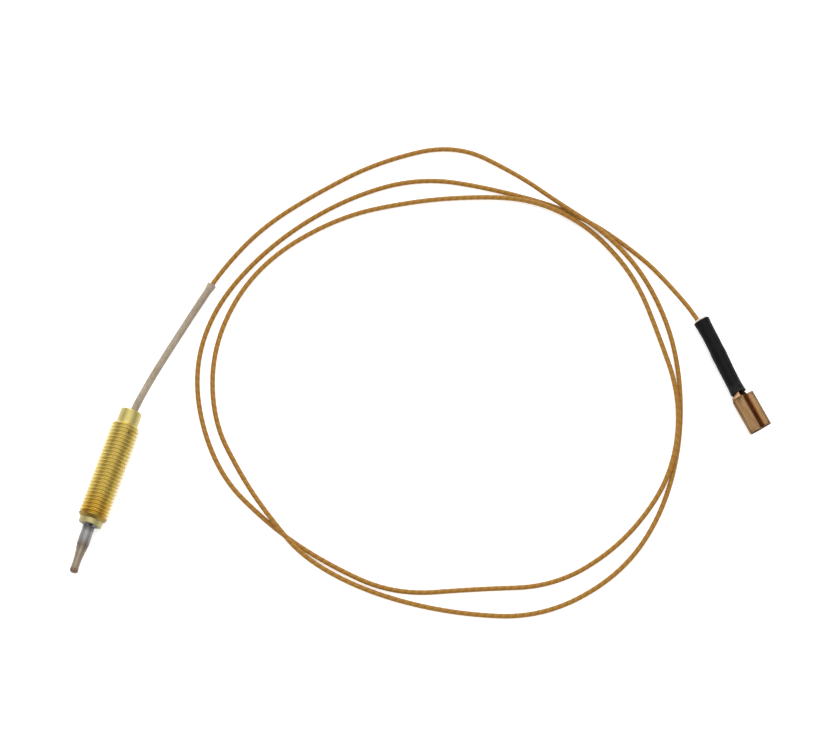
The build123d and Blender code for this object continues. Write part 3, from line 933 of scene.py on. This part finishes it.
def inner_sleeve():
    """White sleeve that shows at the shrink's mouth, with loose fibres at its right."""
    angles = full_turn(48)

    def ring(distance, radius):
        points = []
        for angle in angles:
            ragged = max(0.0, 1 - (distance + 0.4) / 1.5)
            along = distance - ragged * 0.16 * abs(wobble((cos(angle), sin(angle), 2), 3.0, 13))
            size = radius + 0.04 * wobble((cos(angle), sin(angle), distance), 2.0, 14)
            points.append(on_connector(along, size * cos(angle), size * sin(angle)))
        return points

    distances = [-0.45, -0.35, 0.0, 0.3, 1.0, 3.0, 8.0, 15.5]
    rings = [ring(d, 1.84 if d < -0.4 else 1.92 if d < 0.5 else 1.65) for d in distances]
    rings += [ring(d, 1.5 if d < -0.4 else 1.32) for d in reversed(distances)]
    parts = [skin(rings, distances + distances[::-1], loop=True)]
    chance = random.Random(5)
    for k in range(LOOSE_FIBRES):
        # two thirds of the loose fibres stand in a tuft at the right
        tuft = k % 3 > 0
        angle = chance.gauss(0.5, 0.45) if tuft else chance.uniform(0, 2 * pi)
        radius = chance.uniform(1.5, 1.85)
        root = on_connector(-0.25, radius * cos(angle), radius * sin(angle))
        out = ACROSS * cos(angle) + UP * sin(angle)
        turn = AXIS.cross(out) * chance.uniform(-0.7, 0.7)
        direction = (-AXIS + out * chance.uniform(-0.5, 0.5) + turn).normalized()
        length = chance.uniform(0.4, 0.95) if tuft else chance.uniform(0.15, 0.4)
        parts.append(fibre(root, direction, length, chance.uniform(0.03, 0.06), turn * 0.6))
    vertices, faces, _ = join_parts(parts)
    return piece("white_inner_sleeve", vertices, faces, white_fibre,
                 ["connector_inner_sleeve"], smooth=60)


def arc(centre, radius, start, end, count):
    """Points of an arc, angles in degrees."""
    return [
        (centre[0] + radius * cos(radians(start + (end - start) * i / count)),
         centre[1] + radius * sin(radians(start + (end - start) * i / count)))
        for i in range(count + 1)
    ]


def sheet_ring(centreline, thickness):
    """Closed outline of a sheet from its centreline: outer side first, then the inner side."""
    outer, inner = [], []
    last = len(centreline) - 1
    for i, (x, y) in enumerate(centreline):
        ax, ay = centreline[max(i - 1, 0)]
        bx, by = centreline[min(i + 1, last)]
        tx, ty = bx - ax, by - ay
        size = sqrt(tx * tx + ty * ty)
        nx, ny = -ty / size, tx / size
        outer.append((x - nx * thickness / 2, y - ny * thickness / 2))
        inner.append((x + nx * thickness / 2, y + ny * thickness / 2))
    return outer + inner[::-1]


def close_sheet_ends(faces, rings):
    """Adds the cut faces at both ends of a sheet, from its outer to its inner side."""
    count = len(rings[0])
    for first in (0, (len(rings) - 1) * count):
        for k in range(count // 2 - 1):
            faces.append((first + k, first + k + 1, first + count - 2 - k, first + count - 1 - k))


SHEET = 0.4
NECK_SHEET = 0.36
HALF_WIDTH = 3.15
HALF_HEIGHT = 1.25
WALL = HALF_WIDTH - SHEET / 2
TOP = HALF_HEIGHT - SHEET / 2
# centreline of the receptacle's sheet, from the left lip over the base to the right lip
LEFT_LIP = [(0.31, 0.12), (0.31, 0.3), (0.31, 0.5), (0.29, 0.66), (0.12, 0.82), (-0.08, 0.98),
            (-0.2, 1.045), (-0.5, 1.05), (-1.0, 1.04), (-1.35, 1.005), (-1.5, 0.99), (-1.65, 1.005),
            (-2.05, 1.04)]
LEFT_TURN = arc((-WALL + 0.75, TOP - 0.75), 0.75, 90, 180, 7)
LEFT_FOOT = arc((-WALL + 0.6, -TOP + 0.6), 0.6, 180, 270, 6)
RIGHT_FOOT = arc((WALL - 0.6, -TOP + 0.6), 0.6, 270, 360, 6)
RIGHT_TURN = arc((WALL - 0.75, TOP - 0.75), 0.75, 0, 90, 7)
RIGHT_LIP = arc((WALL - 1.05, TOP - 0.75), 0.75, 90, 180, 7) + [(WALL - 1.8, 0.12)]
BASE = [(-1.5, -TOP), (-0.5, -TOP), (0.5, -TOP), (1.5, -TOP)]
SOCKET_LINE = LEFT_LIP + LEFT_TURN + LEFT_FOOT + BASE + RIGHT_FOOT + RIGHT_TURN + RIGHT_LIP
SOCKET_FROM = 23.5
SOCKET_TO = 33.9


def receptacle():
    """The folded socket: base and two rolled edges."""
    outline = sheet_ring(SOCKET_LINE, SHEET)
    rings = []
    shares = [0, 0.004, 0.015, 0.035, 0.07] + [0.1 + 0.04 * i for i in range(21)]
    shares += [0.94, 0.97, 0.985, 0.996, 1.0]
    for share in shares:
        ring = []
        for cross, rise in outline:
            # the right roll starts a little later, the left one has a rounded shoulder
            begin = SOCKET_FROM + (0.4 if cross > 0.4 else 0.0)
            along = begin + (SOCKET_TO - begin) * share
            shoulder = max(0.0, 1 - (along - SOCKET_FROM) / 0.9) ** 2 if cross < 0.2 else 0.0
            x = cross * (1 - 0.16 * shoulder)
            h = rise - (0.22 * shoulder if rise > 0 else 0)
            # pressed sheet isn't quite straight, and its cut ends are slightly ragged
            h += 0.025 * wobble((along * 0.35, cross, rise), 1.0, 15) * (rise > 0.3)
            end = min(share, 1 - share)
            if end < 0.003:
                along += 0.07 * wobble((cross * 2.2, rise * 2.2, share * 9), 1.0, 16)
                x *= 0.99
                h *= 0.985
            h = min(h, HALF_HEIGHT)
            ring.append(on_receptacle(along, x, h))
        rings.append(ring)
    vertices, faces, _ = skin(rings, shares)
    close_sheet_ends(faces, rings)
    return piece("rolled_receptacle", vertices, faces, bronze,
                 ["tab_receptacle"], smooth=40)


def along_polyline(points, share):
    """A point at a share of a polyline's length."""
    lengths = [0.0]
    for (ax, ay), (bx, by) in zip(points, points[1:]):
        lengths.append(lengths[-1] + sqrt((bx - ax) ** 2 + (by - ay) ** 2))
    want = share * lengths[-1]
    i = min(max(bisect_right(lengths, want) - 1, 0), len(points) - 2)
    part = (want - lengths[i]) / (lengths[i + 1] - lengths[i])
    (ax, ay), (bx, by) = points[i], points[i + 1]
    return ax + (bx - ax) * part, ay + (by - ay) * part


def neck():
    """The same sheet behind the socket: cut back at the right, and rolled into the barrel."""
    socket = [(-0.3, TOP - 0.16), (-1.5, TOP - 0.2)] + [(x * 0.9, h * 0.86) for x, h in LEFT_TURN]
    socket += [(x * 0.93, h * 0.97) for x, h in LEFT_FOOT] + BASE[:3] + [(1.4, -TOP)]
    # (distance along, barrel's radius, share of the way from the barrel to the socket)
    stages = [
        (15.6, 1.0, 0.0), (17.2, 1.0, 0.0), (17.8, 0.86, 0.0), (19.0, 0.84, 0.0), (19.6, 1.0, 0.0),
        (20.6, 1.05, 0.0), (21.4, 1.2, 0.06), (22.0, 1.35, 0.25), (22.4, 1.5, 0.5),
        (22.8, 1.6, 0.76), (23.2, 1.6, 0.94), (23.6, 1.6, 1.0), (24.0, 1.6, 1.0),
    ]
    rings = []
    for along, size, blend in stages:
        line = []
        for i in range(37):
            share = i / 36
            angle = radians(100 + 340 * share)
            x = (size - NECK_SHEET / 2) * cos(angle)
            h = (size - NECK_SHEET / 2) * sin(angle)
            sx, sh = along_polyline(socket, share)
            line.append((x + (sx - x) * blend, h + (sh - h) * blend))
        rings.append([on_receptacle(along, x, h) for x, h in sheet_ring(line, NECK_SHEET)])
    vertices, faces, _ = skin(rings, [stage[0] for stage in stages])
    close_sheet_ends(faces, rings)
    return piece("receptacle_neck", vertices, faces, bronze, smooth=45)


STRANDS = 7
STRAND_R = 0.095
STRAND_CIRCLE_R = 0.2
STRAND_LAY = 7.0


def strands():
    """Bare twisted strands of the lead's core, in the crimp barrel: six round a middle one."""
    parts = []
    end, direction, _ = lead_line.at(lead_line.length)
    straight = Line([end - direction * 0.5 + direction * 0.5 * i for i in range(24)])
    for wire in range(STRANDS):
        middle = wire == STRANDS - 1
        rings = []
        distances = steps(0.0, 11.0, 0.4)
        for distance in distances:
            turn = 2 * pi * (distance / STRAND_LAY + wire / (STRANDS - 1))
            centre = straight.point(distance, turn, 0.0 if middle else STRAND_CIRCLE_R)
            rings.append([
                centre + straight.point(distance, angle, STRAND_R) - straight.at(distance)[0]
                for angle in full_turn(8)
            ])
        parts.append(skin(rings, distances, start_cap=True, end_cap=True))
    vertices, faces, _ = join_parts(parts)
    shade = plain_metal_material(
        "core_strands", colour(150, 136, 120), colour(214, 200, 184), 0.3,
    )
    return piece("lead_strands", vertices, faces, shade)


bronze = bronze_material()
shrink_piece = heat_shrink()
inner_piece = inner_sleeve()
socket_piece = receptacle()
neck_piece = neck()
strands_piece = strands()

# ---- CAD pieces that stay
element_metal = plain_metal_material(
    "element_wire", colour(150, 146, 142), colour(196, 192, 188), 0.3,
)
tinned = plain_metal_material(
    "tinned_ferrule", colour(186, 186, 188), colour(226, 226, 228), 0.22,
)
bush_fibre = white_fibre_material("bush", colour(176, 166, 148), colour(214, 204, 186))
for node, material in {
    "inner_element_wire": element_metal,
    "element_insulator": white_fibre,
    "splice_ferrule": tinned,
    "splice_sleeve": white_fibre,
    "insulating_bush": bush_fibre,
}.items():
    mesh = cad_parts[node].data
    mesh.materials.clear()
    mesh.materials.append(material)


# ---- floor and light
# metres from here on
FLOOR_HALF = 3
FLOOR_Z = -0.0001
FLOOR_GLOW = 0.42
LIGHT_TARGET = (0.07, 0.05, 0)
# (rise above the horizon as the sine of the angle, grey) of the surroundings
SKY = [
    (0.0, 0.9), (0.08, 0.6), (0.25, 0.45), (0.44, 0.46), (0.62, 0.72), (0.78, 0.95), (0.92, 1.05),
]


def stage_floor():
    mesh = bpy.data.meshes.new("floor")
    corners = [(-1, -1), (1, -1), (1, 1), (-1, 1)]
    mesh.from_pydata([(x * FLOOR_HALF, y * FLOOR_HALF, FLOOR_Z) for x, y in corners],
                     [], [(0, 1, 2, 3)])
    shade = Shading("floor", Roughness=0.9, Specular_IOR_Level=0.1)
    shade.bsdf.inputs["Base Color"].default_value = (0.93, 0.93, 0.93, 1)
    shade.bsdf.inputs["Emission Color"].default_value = (1, 1, 1, 1)
    shade.bsdf.inputs["Emission Strength"].default_value = FLOOR_GLOW
    mesh.materials.append(shade.material)
    floor = added("floor", mesh)


def soft_light(name, place, size, power):
    """A rectangular light aimed at the object."""
    data = bpy.data.lights.new(name, "AREA")
    data.shape = "RECTANGLE"
    data.size, data.size_y = size
    data.energy = power
    light = added(name, data)
    light.location = place
    towards = Vector(LIGHT_TARGET) - Vector(place)
    light.rotation_euler = towards.to_track_quat("-Z", "Y").to_euler()


def studio():
    """Pale surroundings with a grey band at middle height, and three soft lights."""
    world = bpy.data.worlds.new("studio")
    bpy.context.scene.world = world
    world.use_nodes = True
    tree = world.node_tree
    background = tree.nodes["Background"]
    coordinates = tree.nodes.new("ShaderNodeTexCoord")
    split = tree.nodes.new("ShaderNodeSeparateXYZ")
    ramp = tree.nodes.new("ShaderNodeValToRGB")
    fill_ramp(ramp.color_ramp, [(rise, (grey, grey, grey, 1)) for rise, grey in SKY])
    tree.links.new(coordinates.outputs["Generated"], split.inputs[0])
    tree.links.new(split.outputs[2], ramp.inputs[0])
    tree.links.new(ramp.outputs[0], background.inputs[0])
    background.inputs[1].default_value = 1.0
    soft_light("top_box", (0.05, 0.0, 1.4), (1.5, 1.5), 6.0)
    soft_light("back_box", (-0.25, 1.3, 0.5), (1.3, 0.8), 11.0)
    soft_light("left_box", (-1.3, 0.1, 0.22), (1.2, 0.5), 1.0)


stage_floor()
studio()
bpy.context.scene.view_settings.view_transform = "Standard"
